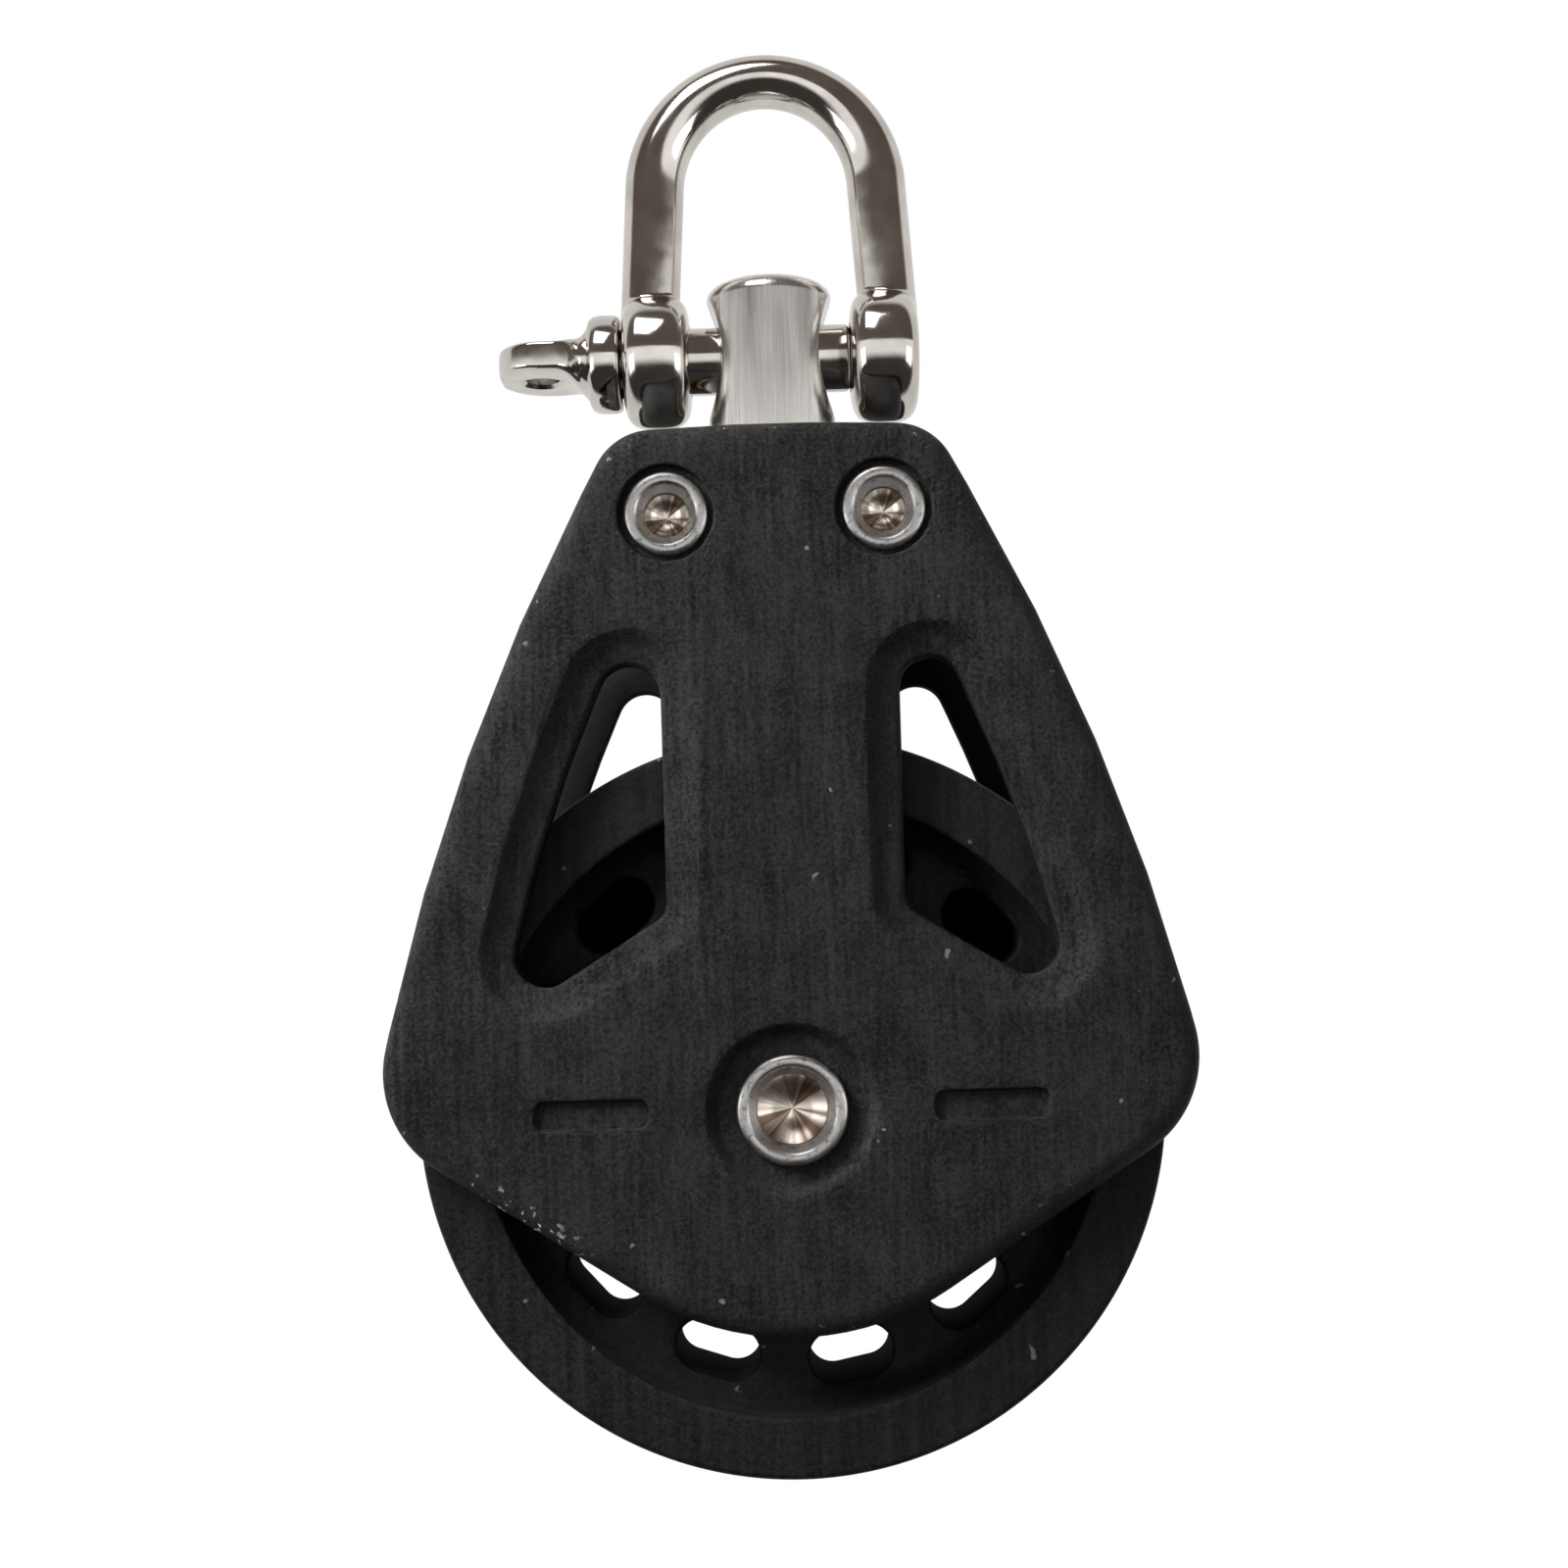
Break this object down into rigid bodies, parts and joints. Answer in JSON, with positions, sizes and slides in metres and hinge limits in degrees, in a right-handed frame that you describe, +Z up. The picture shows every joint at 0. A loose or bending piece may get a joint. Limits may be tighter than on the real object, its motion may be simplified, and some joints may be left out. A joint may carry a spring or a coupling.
{
  "type": "single sheave block",
  "caption": "Single sheave pulley block with pressed cheeks, a grooved ball-bearing sheave, a swivel post and a screw-pin bow shackle.",
  "frame": {"origin": "inside of the shackle's crown, on the block's centreline", "axes": "+Z up along the load line, +Y from the front cheek to the rear cheek, +X to the right seen from the front; the shackle pin lies along X and the sheave's axle along Y"},
  "size_m": [0.0614, 0.0218, 0.1116],
  "materials": {
    "black_cheek": "black hard-anodised aluminium, fine grain, matte, bright chips on the lower edge",
    "black_sheave": "black anodised aluminium with fine turned lines, satin",
    "black_composite": "black glass-filled composite, matte",
    "polished_steel": "mirror-polished stainless steel",
    "brushed_steel": "satin stainless steel, brushed along its length",
    "rivet_steel": "turned stainless steel with a rolled rim",
    "bronze": "satin bearing bronze",
    "white_acetal": "smooth acetal"
  },
  "bodies": {
    "shackle": {"shackle_bow": "polished_steel"},
    "pin": {"shackle_pin": "polished_steel"},
    "post": {"swivel_post": "brushed_steel", "swivel_nut": "brushed_steel", "swivel_thrust_washer": "bronze"},
    "block_frame": {"front_cheek": "black_cheek", "rear_cheek": "black_cheek", "head_block": "black_composite", "swivel_bush": "bronze", "left_head_rivet": "rivet_steel", "right_head_rivet": "rivet_steel", "axle_rivet": "rivet_steel", "bearing_hub": "black_composite", "front_hub_washer": "black_composite", "rear_hub_washer": "black_composite"},
    "sheave_wheel": {"sheave": "black_sheave", "front_ball_retainer": "black_composite", "rear_ball_retainer": "black_composite"},
    "ball_set": {"front_ball_01": "white_acetal", "front_ball_02": "white_acetal", "front_ball_03": "white_acetal", "front_ball_04": "white_acetal", "front_ball_05": "white_acetal", "front_ball_06": "white_acetal", "front_ball_07": "white_acetal", "front_ball_08": "white_acetal", "front_ball_09": "white_acetal", "front_ball_10": "white_acetal", "front_ball_11": "white_acetal", "front_ball_12": "white_acetal", "front_ball_13": "white_acetal", "rear_ball_01": "white_acetal", "rear_ball_02": "white_acetal", "rear_ball_03": "white_acetal", "rear_ball_04": "white_acetal", "rear_ball_05": "white_acetal", "rear_ball_06": "white_acetal", "rear_ball_07": "white_acetal", "rear_ball_08": "white_acetal", "rear_ball_09": "white_acetal", "rear_ball_10": "white_acetal", "rear_ball_11": "white_acetal", "rear_ball_12": "white_acetal", "rear_ball_13": "white_acetal"}
  },
  "joints": [
    {"name": "shackle_pin_withdraw", "type": "slide", "parent": "shackle", "child": "pin", "axis": [-1, 0, 0], "range_m": [0, 0.024]},
    {"name": "shackle_tilt", "type": "hinge", "parent": "shackle", "child": "post", "pos_m": [0, 0, -0.02025], "axis": [1, 0, 0], "range_deg": [-110, 110]},
    {"name": "swivel", "type": "hinge", "parent": "post", "child": "block_frame", "pos_m": [0, 0, -0.02925], "axis": [0, 0, 1], "continuous": true},
    {"name": "sheave_spin", "type": "hinge", "parent": "block_frame", "child": "sheave_wheel", "pos_m": [0, 0, -0.07925], "axis": [0, 1, 0], "continuous": true},
    {"name": "ball_orbit", "type": "hinge", "parent": "block_frame", "child": "ball_set", "pos_m": [0, 0, -0.07925], "axis": [0, 1, 0], "continuous": true}
  ],
  "couplings": [
    {"joint": "ball_orbit", "follows": "sheave_spin", "ratio": 0.6167}
  ]
}
